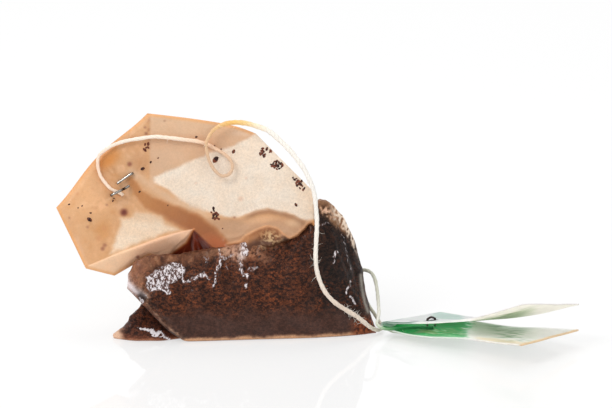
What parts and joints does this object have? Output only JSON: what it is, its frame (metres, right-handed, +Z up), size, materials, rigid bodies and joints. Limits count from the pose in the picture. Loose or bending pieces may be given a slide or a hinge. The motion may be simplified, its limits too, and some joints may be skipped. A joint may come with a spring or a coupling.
{
  "type": "used tea bag",
  "caption": "Wet double-chamber tea bag with a folded, stapled paper head flopped to one side, and a looped string to a folded paper tag.",
  "frame": {"origin": "on the resting surface, under the middle of the paper bag's bounding box", "axes": "+X along the bag towards the tag, +Y away from the side that the tag's near corner points to, +Z up"},
  "size_m": [0.1036, 0.0382, 0.0434],
  "materials": {
    "filter_paper": "wet, tea-stained filter paper, darker over the tea",
    "wet_tea": "wet cut tea leaf",
    "staple_wire": "bright bent wire",
    "cotton_string": "twisted cotton, tea-stained near the head",
    "tag_card": "white coated paper with plain green fields, tea-stained at the edges"
  },
  "bodies": {
    "root": {"filter_paper_bag": "filter_paper", "front_tea_charge": "wet_tea", "rear_tea_charge": "wet_tea", "head_staple": "staple_wire", "string": "cotton_string", "tag": "tag_card", "tag_staple": "staple_wire"}
  },
  "joints": []
}
